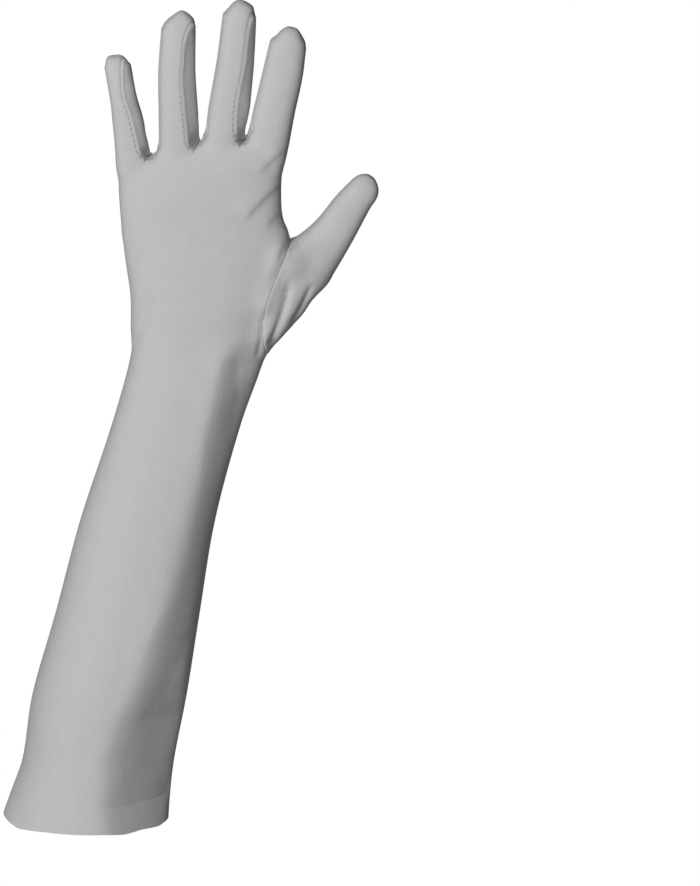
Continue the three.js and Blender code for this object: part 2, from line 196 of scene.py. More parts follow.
# Seam of the thumb, from its top down the back of the hand: across and up as shares of the palm
THUMB_SEAM = [(0.562, 0.56), (0.47, 0.4), (0.4, 0.25), (0.385, 0.1), (0.42, -0.03)]

# Broad swells and hollows of the hand: side, from, to (millimetres across and up), width, height
SWELLS = [
    ("palm", (82.2, 281.4), (73.8, 257.6), 20, 4.0),
    ("palm", (33.5, 284.6), (40.2, 252.2), 15, 2.6),
    ("palm", (57.0, 298.6), (58.7, 281.4), 14, -2.4),
    ("palm", (31.8, 326.7), (86.4, 333.2), 9, 1.4),
    ("back", (16.6, 23.6), (72.2, 236.0), 9, 1.3),
    ("back", (34.9, 28.3), (83.0, 212.4), 9, -1.0),
    ("palm", (8.3, 59.0), (24.9, 118.0), 26, 2.2),
    ("back", (98.0, 290.0), (90.0, 265.0), 5.5, 2.8),
    ("back", (104.5, 291.0), (103.5, 284.0), 6.5, 3.3),
]

# Furrows in the cloth: points across and up, half-width and depth
FURROWS = [
    ([(99.8, 295.5), (98.4, 290.0), (97.2, 283.5)], 2.0, 0.5),
    ([(90.2, 262.5), (89.0, 252.0), (88.2, 243.6), (86.2, 234.0)], 1.6, 1.0),
    ([(24.0, 241.0), (27.0, 249.5), (30.5, 256.0), (35.5, 269.5)], 2.3, 0.8),
    ([(23.6, 252.0), (28.0, 262.0), (33.0, 275.0)], 1.6, 0.4),
    ([(103.6, 297.4), (108.5, 292.5), (111.0, 289.0)], 1.0, 0.4),
]

# Folds with a soft side and a steep side: crest across and up, soft width, steep width and height
FOLDS = [
    ([(103.6, 277.5), (101.6, 268.0), (98.8, 257.5), (95.2, 247.0), (92.8, 239.5)], 2.2, 1.5, -1.8),
    ([(114.8, 275.5), (111.8, 267.8), (107.0, 258.0), (102.4, 250.5)], 2.0, 1.2, -1.3),
    ([(100.5, 345.0), (92.7, 338.5), (85.0, 330.0)], 6.0, 2.0, 0.8),
    ([(99.5, 327.0), (91.7, 322.0), (85.2, 315.8), (78.0, 307.0)], 7.0, 2.2, 1.1),
    ([(99.5, 312.5), (92.5, 308.0), (88.0, 302.0)], 5.0, 2.2, 0.7),
]

# Thumb's side of the forearm: up, where it starts to turn away, over what width, how steep it gets,
# how much steeper with each millimetre after that, and its share
FOREARM_SIDE = [
    (0, 1.9, 18.0, 0.74, 0.030, 1),
    (12, 0.9, 16.0, 0.74, 0.030, 1),
    (33, 2.8, 12.0, 0.57, 0.020, 1),
    (53, 7.3, 15.0, 0.64, 0.018, 1),
    (74, 14.3, 19.0, 0.57, 0.022, 1),
    (95, 20.8, 21.0, 0.60, 0.035, 1),
    (115, 26.8, 29.0, 0.92, 0.020, 1),
    (136, 33.8, 30.0, 1.02, 0.045, 1),
    (157, 40.8, 24.0, 0.93, 0.045, 1),
    (177, 46.8, 21.0, 0.88, 0.045, 1),
    (198, 52.8, 13.5, 0.68, 0.035, 1),
    (208, 55.8, 12.5, 0.65, 0.030, 1),
    (218, 58.3, 12.5, 0.62, 0.020, 1),
    (226, 60.8, 10.0, 0.56, 0.010, 1),
    (234, 63.8, 9.0, 0.56, 0.005, 1),
    (246, 67.0, 8.5, 0.61, 0.0, 0),
]

# How softly the forearm's flat side rounds over into its edge, and how far it may move towards the middle
EDGE_ROUNDING = 6.0
MOST_INWARD = 0.7

# Heel of the thumb, where the forearm's flat side is less: from where, over what width, and how much less
HEEL_ACROSS = (76, 12)
HEEL_UP = (220, 16)
HEEL_EASE = 0.6

# How far the hem's edge hangs below its plane on the back of the arm: across, down
HEM_DROP = [(-42, 1.2), (-34, 3.4), (-20, 2.4), (0, 2.8), (10, 3.0), (20, 4.6), (28, 4.1), (37, 5.0), (42, 3.6)]
HEM_DROP_HEIGHT = 45  # the cloth above this isn't drawn down
HEM_DROP_DEPTH = 14  # how far from the glove's middle the drop is full

# Sewn line between the back and each side piece, from the foot of its V up the finger: across, up
SEWN_LINES = {
    "little": [
        (31.0, 336.4), (28.6, 339.0), (27.0, 342.1), (25.6, 347.8), (24.0, 354.5), (22.6, 360.0), (21.0, 364.5),
        (19.6, 368.9), (18.8, 374.1), (18.6, 381.3), (19.1, 386.9), (21.4, 391.5),
    ],
    "ring": [
        (55.3, 341.5), (53.0, 342.8), (51.5, 345.2), (51.0, 348.3), (50.5, 352.0), (50.0, 357.6), (49.2, 366.8),
        (48.3, 379.2), (48.9, 387.0), (49.6, 395.0), (51.0, 401.5), (53.4, 405.2), (56.0, 406.8),
    ],
    "middle": [
        (78.3, 344.6), (76.4, 346.4), (75.5, 349.5), (75.1, 353.5), (75.1, 358.6), (75.5, 363.7), (76.5, 371.5),
        (77.9, 378.2), (79.4, 385.9), (80.3, 394.0), (81.3, 401.5), (82.3, 406.5), (83.7, 410.0), (86.2, 411.6),
    ],
}

# Right arm of each V, from its foot up to the next finger's edge: across, up
V_ARMS = {
    "little": [(34.6, 339.4), (38.6, 343.6)],
    "ring": [(59.6, 345.9), (62.4, 350.8)],
    "middle": [(81.6, 347.6), (84.6, 352.0)],
}

# Hollow at the foot of each V: across, up, how much the web is lowered, and share of the way to the palm
PITS = {"little": (33.0, 339.2, 2.6, 1.0), "ring": (57.3, 345.8, 0.4, 1.0), "middle": (79.5, 346.8, 2.2, 0.95)}
WEB_OFFSET = (0.7, 2)  # from a pit to the middle of its web
WEB_REACH = 3.2
PIT_FLOOR = 3.5  # how far behind the glove's middle a pit's floor lies
PIT_WIDTH = 2.5
PIT_REACH = 4.5

# How flat each finger is right of its sewn line
SIDE_FLATNESS = {"little": 0.3, "ring": 0.6, "middle": 0.35}

# Cloth at the thumb's and the side pieces' seams: dip and its half-width on the line,
# then height, distance from the line and half-width of the roll beside it
SEAM_ROLLS = {
    "thumb": (-0.15, 0.5, 0.14, 1.1, 0.8),
    "fourchette": (-0.22, 0.45, 0.28, 1.1, 0.7),
}
SIDE_SEAM_DIP = (-0.1, 0.5)
NEEDLE_HOLE = (-0.3, 0.6, 0.7)  # depth, half-width across the line and along it

# Where fingers and palm meet: creases between these heights are eased, and two places at the thumb
CREASE_RANGE = (226, 366)
THUMB_HEEL = (89, 237)
THUMB_CROTCH = (104, 292)

# Fineness along the seams: reach of the first and second division, and the first's share at the long seams
SEAM_REACH = 3.0
FINE_REACH = 1.7
LONG_SEAM_SHARE = 0.4
FOLD_REACH = 5
LONG_SEAMS = ("cuff_hem", "palm_panel")


# ---- shape of the hand

def bell(distance, width):
    return np.exp(-((distance / width) ** 2))


def smooth_step(share):
    return share * share * (3 - 2 * share)


def smooth_value(xs, ys, x):
    """A column of a table at any height, by a smooth curve through its rows."""
    x = min(max(x, xs[0]), xs[-1])
    i = min(max(int(np.searchsorted(xs, x, side="right")) - 1, 0), len(xs) - 2)

    def slope(k):
        a, b = max(k - 1, 0), min(k + 1, len(xs) - 1)
        return (ys[b] - ys[a]) / (xs[b] - xs[a])

    run = xs[i + 1] - xs[i]
    t = (x - xs[i]) / run
    return (
        (2 * t**3 - 3 * t**2 + 1) * ys[i]
        + (t**3 - 2 * t**2 + t) * run * slope(i)
        + (3 * t**2 - 2 * t**3) * ys[i + 1]
        + (t**3 - t**2) * run * slope(i + 1)
    )


def arm_stations():
    """Sections of the arm in millimetres: height above the hem, x, half-width, half-depth, lean and squareness."""
    rows = []
    for up, drift, wide, deep, square in SLEEVE_ROWS:
        rows.append((
            up * SLEEVE_LENGTH,
            drift * SLEEVE_DRIFT,
            wide * CUFF_WIDTH / 2,
            deep * CUFF_DEPTH / 2,
            0.0,
            square,
        ))
    for up, drift, wide, deep, slope, square in PALM_ROWS:
        rows.append((
            SLEEVE_LENGTH + up * PALM_LENGTH,
            SLEEVE_DRIFT + drift * PALM_WIDTH,
            wide * PALM_WIDTH / 2,
            deep * PALM_DEPTH / 2,
            -slope * KNUCKLE_SLOPE,
            square,
        ))
    return np.array(rows)


ARM = arm_stations()


def arm_section(z):
    x, half_wide, half_deep, lean, square = (smooth_value(ARM[:, 0], ARM[:, k], z) for k in range(1, 6))
    return dict(centre=Vector((x, 0, z)), lean=lean, half_wide=half_wide, half_deep=half_deep, square=square)


def across(lean):
    angle = math.radians(lean)
    return Vector((math.cos(angle), 0, -math.sin(angle)))


def along(lean):
    angle = math.radians(lean)
    return Vector((math.sin(angle), 0, math.cos(angle)))


def digit_section(digit, up):
    columns = digit["rows"]
    value = [smooth_value(columns[:, 0], columns[:, k], up) for k in range(1, columns.shape[1])]
    wide, deep, side, bow = value[:4]
    lean = digit["lean"]
    centre = digit["root"] + along(lean) * (up * digit["length"]) + across(lean) * (side * digit["width"])
    centre.y += bow * digit["depth"]
    seam = value[4] if len(value) > 4 else 1.0
    return dict(
        centre=centre,
        lean=lean,
        half_wide=wide * digit["width"] / 2,
        half_deep=deep * digit["depth"] / 2,
        square=FINGER_SQUARE,
        seam=seam,
    )


def make_digits():
    knuckles = arm_section(SLEEVE_LENGTH + KNUCKLE_HEIGHT * PALM_LENGTH)
    digits = {}
    for name, (stand, length, width, depth, lean, rows) in FINGERS.items():
        root = knuckles["centre"] + across(knuckles["lean"]) * (stand * PALM_WIDTH)
        digits[name] = dict(root=root, length=length, width=width, depth=depth, lean=lean, rows=np.array(rows))
    length, width, depth, lean, rows = THUMB
    root = Vector((SLEEVE_DRIFT + THUMB_ROOT[0] * PALM_WIDTH, 0, SLEEVE_LENGTH + THUMB_ROOT[1] * PALM_LENGTH))
    digits["thumb"] = dict(root=root, length=length, width=width, depth=depth, lean=lean, rows=np.array(rows))
    return digits


DIGITS = make_digits()


def ring_points(section, sides):
    points = []
    for i in range(sides):
        angle = 2 * math.pi * (i + 0.5) / sides
        share = 2 / section["square"]
        c, s = math.cos(angle), math.sin(angle)
        wide = math.copysign(abs(c) ** share, c) * section["half_wide"]
        deep = math.copysign(abs(s) ** share, s) * section["half_deep"]
        point = section["centre"] + across(section["lean"]) * wide
        point.y += deep
        points.append(point * MM)
    return points


def drawn_tube(name, rings):
    """A closed tube: a filled circle drawn out section by section."""
    bpy.ops.mesh.primitive_circle_add(vertices=len(rings[0]), radius=10 * MM, fill_type="NGON")
    tube = bpy.context.object
    tube.name = name
    for vertex, point in zip(tube.data.vertices, rings[0]):
        vertex.co = point
    bpy.ops.object.mode_set(mode="EDIT")
    edit = bmesh.from_edit_mesh(tube.data)
    spoke = edit.verts.layers.int.new("spoke")
    for vertex in edit.verts:
        vertex[spoke] = vertex.index
    for ring in rings[1:]:
        bpy.ops.mesh.extrude_region_move()
        edit = bmesh.from_edit_mesh(tube.data)
        spoke = edit.verts.layers.int["spoke"]
        for vertex in edit.verts:
            if vertex.select:
                vertex.co = ring[vertex[spoke]]
        bmesh.update_edit_mesh(tube.data)
    bpy.ops.mesh.select_all(action="SELECT")
    bpy.ops.mesh.normals_make_consistent(inside=False)
    bpy.ops.object.mode_set(mode="OBJECT")
    return tube


def arm_tube():
    sleeve = np.linspace(-CUFF_WASTE, SLEEVE_LENGTH, SLEEVE_RINGS)
    palm = np.linspace(SLEEVE_LENGTH, SLEEVE_LENGTH + PALM_LENGTH, PALM_RINGS)[1:]
    rings = []
    for z in [*sleeve, *palm]:
        section = arm_section(max(z, 0))
        section["centre"].z = z
        rings.append(ring_points(section, ARM_SIDES))
    return drawn_tube("arm", rings)


def digit_tube(name):
    digit = DIGITS[name]
    tips = np.array(TIPS[name])
    start, tip = digit["rows"][0][0], tips[0][0]
    steps = round((tip - start) * digit["length"] / DIGIT_STEP)
    rings = [ring_points(digit_section(digit, up), DIGIT_SIDES) for up in np.linspace(start, tip, steps)]
    base = digit_section(digit, tip)
    flat_centre = base["centre"] - across(digit["lean"]) * (
        smooth_value(digit["rows"][:, 0], digit["rows"][:, 3], tip) * digit["width"]
    )
    for up in np.linspace(tip, tips[-1][0], round((tips[-1][0] - tip) * digit["length"] / TIP_STEP))[1:]:
        left, right = np.interp(up, tips[:, 0], tips[:, 1]), np.interp(up, tips[:, 0], tips[:, 2])
        section = dict(base)
        share = (up - tip) / (tips[-1][0] - tip)
        section["half_deep"] = base["half_deep"] * (1 - TIP_DEPTH_LOST * share**2) ** 0.5
        section["half_wide"] = (right - left) / 2 * digit["width"] / 2
        section["centre"] = (
            flat_centre
            + along(digit["lean"]) * ((up - tip) * digit["length"])
            + across(digit["lean"]) * ((left + right) / 2 * digit["width"] / 2)
        )
        rings.append(ring_points(section, DIGIT_SIDES))
    return drawn_tube(name, rings)


def smooth_faces(mesh):
    mesh.polygons.foreach_set("use_smooth", [True] * len(mesh.polygons))


def use_modifier(obj, kind, **settings):
    bpy.context.view_layer.objects.active = obj
    modifier = obj.modifiers.new(kind.lower(), kind)
    for key, value in settings.items():
        setattr(modifier, key, value)
    bpy.ops.object.modifier_apply(modifier=modifier.name)


def select_only(*objs):
    bpy.ops.object.select_all(action="DESELECT")
    for obj in objs:
        obj.select_set(True)
    bpy.context.view_layer.objects.active = objs[0]


def coordinates(mesh):
    flat = np.empty(len(mesh.vertices) * 3)
    mesh.vertices.foreach_get("co", flat)
    return flat.reshape(-1, 3) / MM


def set_coordinates(mesh, points):
    mesh.vertices.foreach_set("co", (points * MM).ravel())
    mesh.update()


def vertex_normals(mesh):
    flat = np.empty(len(mesh.vertices) * 3)
    mesh.vertex_normals.foreach_get("vector", flat)
    return flat.reshape(-1, 3)


def line_distance(points, chain):
    """Distance in the flat from points to a chain, the share of its length there, and the side, + left and - right."""
    chain = np.asarray(chain, float)
    best = np.full(len(points), 1e9)
    share = np.zeros(len(points))
    side = np.ones(len(points))
    steps = np.linalg.norm(np.diff(chain, axis=0), axis=1)
    walked = np.concatenate([[0], np.cumsum(steps)])
    for i, (a, b) in enumerate(zip(chain[:-1], chain[1:])):
        edge = b - a
        t = np.clip(((points - a) @ edge) / (edge @ edge), 0, 1)
        off = points - (a + t[:, None] * edge)
        distance = np.linalg.norm(off, axis=1)
        near = distance < best
        best[near] = distance[near]
        share[near] = (walked[i] + t[near] * steps[i]) / walked[-1]
        side[near] = np.sign(edge[0] * off[near, 1] - edge[1] * off[near, 0])
    return best, share, side


def outline_field(points, outline):
    """Signed distance in the flat to a closed outline, negative inside."""
    closed = np.vstack([outline, outline[:1]])
    distance = line_distance(points, closed)[0]
    inside = np.zeros(len(points), bool)
    for a, b in zip(closed[:-1], closed[1:]):
        crosses = (a[1] > points[:, 1]) != (b[1] > points[:, 1])
        with np.errstate(divide="ignore", invalid="ignore"):
            x = (b[0] - a[0]) * (points[:, 1] - a[1]) / (b[1] - a[1]) + a[0]
        inside ^= crosses & (points[:, 0] < x)
    return np.where(inside, -distance, distance)


# ---- seams

def thumb_outline():
    seam = [(SLEEVE_DRIFT + a * PALM_WIDTH, SLEEVE_LENGTH + u * PALM_LENGTH) for a, u in THUMB_SEAM]
    curve = rounded(seam)
    angle = math.radians(THUMB[3] / 2)
    reach = THUMB[0]
    above = (seam[0][0] + reach * math.sin(angle), seam[0][1] + reach * math.cos(angle))
    return np.array([above, *curve, (seam[-1][0] + reach, seam[-1][1]), (above[0] + reach, above[1])])


def rounded(points, steps=6):
    """A smooth chain through points in the flat."""
    pts = np.asarray(points, float)
    walked = np.concatenate([[0], np.cumsum(np.linalg.norm(np.diff(pts, axis=0), axis=1))])
    places = np.linspace(0, walked[-1], steps * (len(pts) - 1) + 1)
    return [(smooth_value(walked, pts[:, 0], s), smooth_value(walked, pts[:, 1], s)) for s in places]


SIDE_PIECES = [("little", "ring"), ("ring", "middle"), ("middle", "index")]
THUMB_NUMBER = 0
SLANT = math.tan(math.radians(FINGER_TURN))
TURN_START = 3  # above its foot, where a side piece starts to turn, and over what length
TURN_LENGTH = 16
SEAM_JUMP = 4  # an edge over which a field changes more doesn't cross the seam
SNAP_SHARE = 0.32  # a vertex as near to a cut as this share of its edge moves onto it
VIEWER = -80  # the side that the back of the hand is seen from


def turned(points, foot):
    """Points seen along the way a side piece faces: straight at its foot, and turned further up the finger."""
    share = np.clip((points[:, 2] - foot - TURN_START) / TURN_LENGTH, 0, 1)
    turn = SLANT * share * share * (3 - 2 * share)
    return np.stack([points[:, 0] - turn * points[:, 1], points[:, 2]], axis=1)


def on_back(skin_tree, chain):
    """The points of a chain, seen from the back of the hand, on the skin."""
    points = []
    for x, z in chain:
        hit = skin_tree.ray_cast(Vector((x, VIEWER, z)) * MM, Vector((0, 1, 0)))[0]
        points.append((x, hit.y / MM if hit else 0.0, z))
    return np.array(points)


def side_piece_outline(skin_tree, left, right):
    """The outline of the side piece between two fingers, seen along the way it faces."""
    line = rounded(SEWN_LINES[left], steps=3)
    foot = line[0][1]
    arm = [(line[0][0], line[0][1]), *V_ARMS[left]]
    left_edge = turned(on_back(skin_tree, line), foot)
    right_arm = turned(on_back(skin_tree, arm), foot)[1:]
    right_edge = []
    for up in np.linspace(0.3, 1.0, 12):
        section = digit_section(DIGITS[right], up)
        point = section["centre"] - across(section["lean"]) * (section["seam"] * section["half_wide"])
        right_edge.append((point.x, point.z))
    return np.array([*left_edge[::-1], *right_arm, *right_edge])


def seam_fields(skin_tree):
    """Each seam's signed distance as a function of points, negative on the smaller piece's side."""
    thumb = thumb_outline()
    fields = {"thumb": lambda p: outline_field(p[:, [0, 2]], thumb)}
    for left, right in SIDE_PIECES:
        outline = side_piece_outline(skin_tree, left, right)
        foot = SEWN_LINES[left][0][1]

        def field(p, outline=outline, foot=foot):
            return outline_field(turned(p, foot), outline)

        fields["fourchette_" + left + "_" + right] = field
    fields["cuff_hem"] = lambda p: p[:, 2] - HEM_HEIGHT
    fields["palm_panel"] = lambda p: -p[:, 1]
    return fields


def tree_of(skin):
    edit = bmesh.new()
    edit.from_mesh(skin.data)
    tree = BVHTree.FromBMesh(edit)
    edit.free()
    return tree


def refine(edit, keep):
    """Halves the faces whose middle passes the test."""
    middles = np.array([face.calc_center_median() for face in edit.faces]) / MM
    edges = dict.fromkeys(edge for face, yes in zip(edit.faces, keep(middles)) if yes for edge in face.edges)
    bmesh.ops.subdivide_edges(edit, edges=list(edges), cuts=1, use_grid_fill=True, smooth=0.0)


def cut_along(edit, field):
    """Cuts the faces along a seam, so that its line runs through vertices and edges."""
    edit.verts.ensure_lookup_table()
    edit.verts.index_update()
    points = np.array([v.co for v in edit.verts]) / MM
    value = field(points)
    snap = {}
    for edge in edit.edges:
        a, b = edge.verts
        fa, fb = value[a.index], value[b.index]
        if fa * fb >= 0 or abs(fa) + abs(fb) > SEAM_JUMP:
            continue
        t = fa / (fa - fb)
        for vertex, other, share in ((a, b, t), (b, a, 1 - t)):
            if share < SNAP_SHARE and share < snap.get(vertex, (1, None))[0]:
                snap[vertex] = (share, vertex.co.lerp(other.co, share))
    for vertex, (_, place) in snap.items():
        vertex.co = place
        value[vertex.index] = 0.0
    on_line = {v for v in edit.verts if value[v.index] == 0.0}
    for edge in list(edit.edges):
        a, b = edge.verts
        if a.index < 0 or b.index < 0 or a.index >= len(value) or b.index >= len(value):
            continue
        fa, fb = value[a.index], value[b.index]
        if fa * fb >= 0 or abs(fa) + abs(fb) > SEAM_JUMP:
            continue
        _, vertex = bmesh.utils.edge_split(edge, a, fa / (fa - fb))
        vertex.index = -1
        on_line.add(vertex)
    for face in list(edit.faces):
        marked = [v for v in face.verts if v in on_line]
        if len(marked) < 2:
            continue
        order = {v: i for i, v in enumerate(face.verts)}
        count = len(face.verts)
        pairs = [
            (p, q)
            for i, p in enumerate(marked)
            for q in marked[i + 1:]
            if (order[p] - order[q]) % count not in (1, count - 1)
        ]
        if pairs:
            bmesh.utils.face_split(face, *pairs[0])


def faded(share, length, run=7.0):
    """Full along a fold, fading out over its ends."""
    fade = np.clip(np.minimum(share, 1 - share) * length / run, 0, 1)
    return smooth_step(fade)


def chain_length(chain):
    return np.linalg.norm(np.diff(np.array(chain), axis=0), axis=1).sum()


def relief(points, normals):
    """How far each point moves: through the hand for its swells, and along its normal for the cloth's folds."""
    flat = points[:, [0, 2]]
    back = np.clip(-1.3 * normals[:, 1], 0, 1)
    palm = np.clip(1.3 * normals[:, 1], 0, 1)
    rise, move = np.zeros(len(points)), np.zeros(len(points))
    for side, start, end, width, height in SWELLS:
        distance = line_distance(flat, [start, end])[0]
        rise += height * bell(distance, width) * (-back if side == "back" else palm)
    back = np.clip(-2.2 * normals[:, 1] + 0.35, 0, 1)  # the folds reach a little round the side
    for chain, width, depth in FURROWS:
        curve = rounded(chain)
        distance, share, _ = line_distance(flat, curve)
        move -= depth * bell(distance, width) * faded(share, chain_length(curve)) * back
    for chain, soft, steep, height in FOLDS:
        curve = rounded(chain)
        distance, share, side = line_distance(flat, curve)
        width = np.where(side < 0, soft, steep)
        move += height * bell(distance, width) * faded(share, chain_length(curve)) * back
    return rise, move


def flatten_forearm(points):
    """The thumb's side of the forearm's back turns away softly and then lies nearly flat to its edge."""
    table = np.array(FOREARM_SIDE)
    z = np.clip(points[:, 2], 0, table[-1, 0])
    start, turn, steep, bend, share = (np.interp(z, table[:, 0], table[:, k]) for k in (1, 2, 3, 4, 5))
    x, half_wide, half_deep, square = (np.interp(z, ARM[:, 0], ARM[:, k]) for k in (1, 2, 3, 5))
    place = np.clip((start - x) / half_wide, 0, 0.9)
    round_part = 1 - place**square
    slope = half_deep / half_wide * place ** (square - 1) / round_part ** ((square - 1) / square)
    run = np.clip(points[:, 0] - start, 0, None)
    part = run / turn
    fall = slope * run + (steep - slope) * turn * np.where(part < 1, part**3 - part**4 / 2, part - 0.5)
    fall += bend * np.clip(run - turn, 0, None) ** 2 / 2
    apart = fall - half_deep * round_part ** (1 / square) - points[:, 1]
    ease = EDGE_ROUNDING * np.clip(part - 0.5, 0, 1)
    inward = np.minimum((apart + np.sqrt(apart**2 + ease**2)) / 2, -MOST_INWARD * points[:, 1])
    heel = np.clip((points[:, 0] - HEEL_ACROSS[0]) / HEEL_ACROSS[1], 0, 1)
    heel = 1 - HEEL_EASE * heel * np.clip((z - HEEL_UP[0]) / HEEL_UP[1], 0, 1)
    use = (points[:, 0] > start) & (points[:, 1] < 0) & (points[:, 2] < table[-1, 0])
    points[:, 1] += np.where(use, inward * share * heel, 0)


def press_webs(points, normals):
    """The webs between the fingers are drawn down to where the photograph's gaps end."""
    for x, z, drop, _ in PITS.values():
        distance = np.hypot(points[:, 0] - x - WEB_OFFSET[0], points[:, 2] - z - WEB_OFFSET[1])
        points[:, 2] -= drop * bell(distance, WEB_REACH) * np.clip(normals[:, 2] * 2, 0, 1)


def seam_roll(points, fields):
    """How far the cloth dips at each seam and stands up beside it."""
    value = {name: field(points) for name, field in fields.items()}
    inset = np.min([value[name] for name in fields if name not in LONG_SEAMS], axis=0)
    dip, width = SIDE_SEAM_DIP
    move = dip * bell(value["palm_panel"], width) * np.clip(inset, 0, 1) * (value["cuff_hem"] > 0)
    for name, distance in value.items():
        for kind, (dip, width, height, apart, roll_width) in SEAM_ROLLS.items():
            if name.startswith(kind):
                move += dip * bell(distance, width) + height * bell(distance + apart, roll_width)
    depth, wide, long = NEEDLE_HOLE
    flat = points[:, [0, 2]]
    for chain in SEWN_LINES.values():
        curve = rounded(chain)
        distance, share, _ = line_distance(flat, curve)
        walk = share * chain_length(curve)
        phase = (walk / STITCH_PITCH + 0.5) % 1 - 0.5
        holes = bell(phase * STITCH_PITCH, long) * np.clip((STITCHED_LENGTH - walk) / 8, 0, 1)
        move += depth * bell(distance, wide) * holes * (points[:, 1] < 2)
    return move


def sink_pits(points, fields):
    """At the foot of each V the side piece sinks away behind the next finger's edge."""
    flat = points[:, [0, 2]]
    sink = np.zeros(len(points))
    for left, right in SIDE_PIECES:
        x, z, _, depth = PITS[left]
        inside = np.clip(-fields["fourchette_" + left + "_" + right](points) / 0.2, 0, 1)
        to_line = line_distance(flat, rounded(SEWN_LINES[left]))[0]
        to_arm = line_distance(flat, [SEWN_LINES[left][0], *V_ARMS[left]])[0]
        place = to_line / (to_line + to_arm + 0.05)
        room = np.clip((to_line + to_arm) / PIT_WIDTH, 0, 1)
        distance = np.hypot(points[:, 0] - x, points[:, 2] - z)
        way = np.clip(PIT_FLOOR - points[:, 1], 0, None)
        sink += depth * way * place * room * inside * bell(distance, PIT_REACH)
    return sink


def flatten_fingers(points):
    """Right of its sewn line the back of each finger lies nearly flat towards its edge."""
    ups = np.linspace(0, 1, 60)
    for name, flat in SIDE_FLATNESS.items():
        digit = DIGITS[name]
        root, side, up_way = digit["root"], across(digit["lean"]), along(digit["lean"])
        rows = [digit_section(digit, up) for up in ups]
        up = ((points[:, 0] - root.x) * up_way.x + (points[:, 2] - root.z) * up_way.z) / digit["length"]
        middle = np.interp(up, ups, [(row["centre"] - root).dot(side) for row in rows])
        half_wide = np.interp(up, ups, [row["half_wide"] for row in rows])
        half_deep = np.interp(up, ups, [row["half_deep"] for row in rows])
        bow = np.interp(up, ups, [row["centre"].y for row in rows])
        line = np.array(SEWN_LINES[name])
        sewn = np.interp(points[:, 2], line[:, 1], line[:, 0])
        sideways = (points[:, 2] - root.z) * side.z
        crest = np.clip(((sewn - root.x) * side.x + sideways - middle) / half_wide, 0, 0.9)
        place = ((points[:, 0] - root.x) * side.x + sideways - middle) / half_wide
        depth = half_deep * (1 - crest**FINGER_SQUARE) ** (1 / FINGER_SQUARE)
        share = np.clip((place - crest) / (1 - crest), 0, 1)
        inward = np.clip(-depth * (1 - share) - (points[:, 1] - bow), 0, None)
        ends = np.clip((up - 0.12) / 0.12, 0, 1) * np.clip((0.88 - up) / 0.1, 0, 1)  # not at root and tip
        use = (points[:, 1] < bow) & (place > crest) & (place < 1.15)
        points[:, 1] += np.where(use, inward * flat * ends, 0)


def drop_hem(points):
    """The hem's edge hangs a little lower on the back of the arm, most at its thumb side."""
    table = np.array(HEM_DROP, float)
    back = np.interp(points[:, 0], table[:, 0], table[:, 1])
    palm = np.interp(points[:, 0], table[[0, -1], 0], table[[0, -1], 1])
    share = np.clip((points[:, 1] + HEM_DROP_DEPTH) / HEM_DROP_DEPTH, 0, 1)
    drop = back + (palm - back) * smooth_step(share)
    points[:, 2] -= drop * np.clip(1 - points[:, 2] / HEM_DROP_HEIGHT, 0, 1) ** 2


def glove_form():
    """One skin over the sleeve, the hand and the five fingers, eased where they meet."""
    skin = arm_tube()
    skin.name = "glove_skin"
    for name in DIGITS:
        tube = digit_tube(name)
        use_modifier(skin, "BOOLEAN", operation="UNION", object=tube, solver="EXACT")
        bpy.data.objects.remove(tube)
    bpy.ops.mesh.primitive_uv_sphere_add(
        segments=32, ring_count=20, radius=MM, location=Vector(THUMB_WEB[:3]) * MM, scale=THUMB_WEB[3:]
    )
    web = bpy.context.object
    use_modifier(skin, "BOOLEAN", operation="UNION", object=web, solver="EXACT")
    bpy.data.objects.remove(web)
    select_only(skin)
    bpy.ops.object.mode_set(mode="EDIT")
    bpy.ops.mesh.select_all(action="SELECT")
    bpy.ops.mesh.remove_doubles(threshold=0.25 * MM)
    bpy.ops.mesh.quads_convert_to_tris()
    bpy.ops.mesh.tris_convert_to_quads(face_threshold=math.radians(40), shape_threshold=math.radians(40))
    bpy.ops.object.mode_set(mode="OBJECT")
    ease_joins(skin)
    return skin


def join_distance(skin, fold=math.radians(13)):
    """How far each vertex lies from the creases where fingers and palm meet."""
    low, high = CREASE_RANGE
    edit = bmesh.new()
    edit.from_mesh(skin.data)
    edit.verts.ensure_lookup_table()
    creased = {
        vertex.index
        for edge in edit.edges
        if edge.is_manifold and edge.calc_face_angle() > fold
        for vertex in edge.verts
        if low < vertex.co.z / MM < high
    }
    tree = KDTree(len(creased))
    for index in creased:
        tree.insert(edit.verts[index].co, index)
    tree.balance()
    distance = np.array([tree.find(vertex.co)[2] for vertex in edit.verts]) / MM
    edit.free()
    return distance


def ease_joins(skin):
    """The cloth spans the creases where fingers, thumb and palm meet: name, distance, reach and rounds of smoothing."""
    distance = join_distance(skin)
    points = coordinates(skin.data)
    heel = np.hypot(points[:, 0] - THUMB_HEEL[0], points[:, 2] - THUMB_HEEL[1])
    crotch = np.hypot(points[:, 0] - THUMB_CROTCH[0], points[:, 2] - THUMB_CROTCH[1])
    for name, apart, reach, rounds in (
        ("wide", distance, 7.0, 14),
        ("narrow", distance, 3.0, 10),
        ("thumb_heel", heel, 9.0, 40),
        ("thumb_crotch", crotch, 7.0, 24),
    ):
        weight = np.clip(1.3 - apart / reach, 0, 1)
        group = skin.vertex_groups.new(name=name)
        for index in np.nonzero(weight > 0.02)[0]:
            group.add([int(index)], float(weight[index]), "REPLACE")
        use_modifier(skin, "SMOOTH", factor=0.5, iterations=rounds, vertex_group=name)


